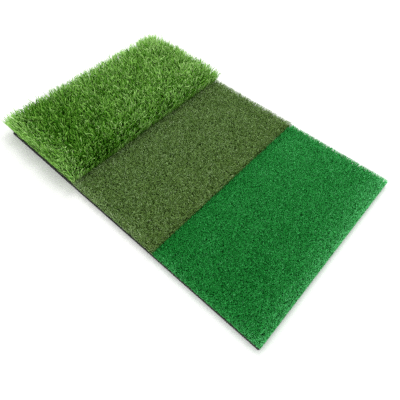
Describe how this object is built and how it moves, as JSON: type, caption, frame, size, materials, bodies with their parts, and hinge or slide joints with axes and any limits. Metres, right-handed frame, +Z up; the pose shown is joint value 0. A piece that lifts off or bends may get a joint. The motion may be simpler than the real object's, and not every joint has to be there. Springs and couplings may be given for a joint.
{
  "type": "golf hitting mat",
  "caption": "Flat golf practice mat: long rough turf, medium curly fairway turf and short dense tee turf glued side by side on a thin rubber base.",
  "frame": {"origin": "centre of the rubber base's underside", "axes": "+X along the mat's length from the long rough turf to the short tee turf, +Y across its width, +Z up out of the pile"},
  "size_m": [0.6404, 0.4164, 0.0425],
  "materials": {
    "base_rubber": "matt, fine pebbled",
    "glue": "dull dried glue",
    "latex": "matt coat",
    "primary_cloth": "woven tape cloth",
    "rough_yarn": "satin plastic blades",
    "fairway_yarn": "matt crimped plastic yarn",
    "tee_yarn": "matt crimped plastic yarn"
  },
  "bodies": {
    "root": {"rubber_base": "base_rubber", "rough_adhesive": "glue", "rough_latex_backing": "latex", "rough_primary_cloth": "primary_cloth", "rough_pile": "rough_yarn", "fairway_adhesive": "glue", "fairway_latex_backing": "latex", "fairway_primary_cloth": "primary_cloth", "fairway_pile": "fairway_yarn", "tee_adhesive": "glue", "tee_latex_backing": "latex", "tee_primary_cloth": "primary_cloth", "tee_pile": "tee_yarn"}
  },
  "joints": []
}
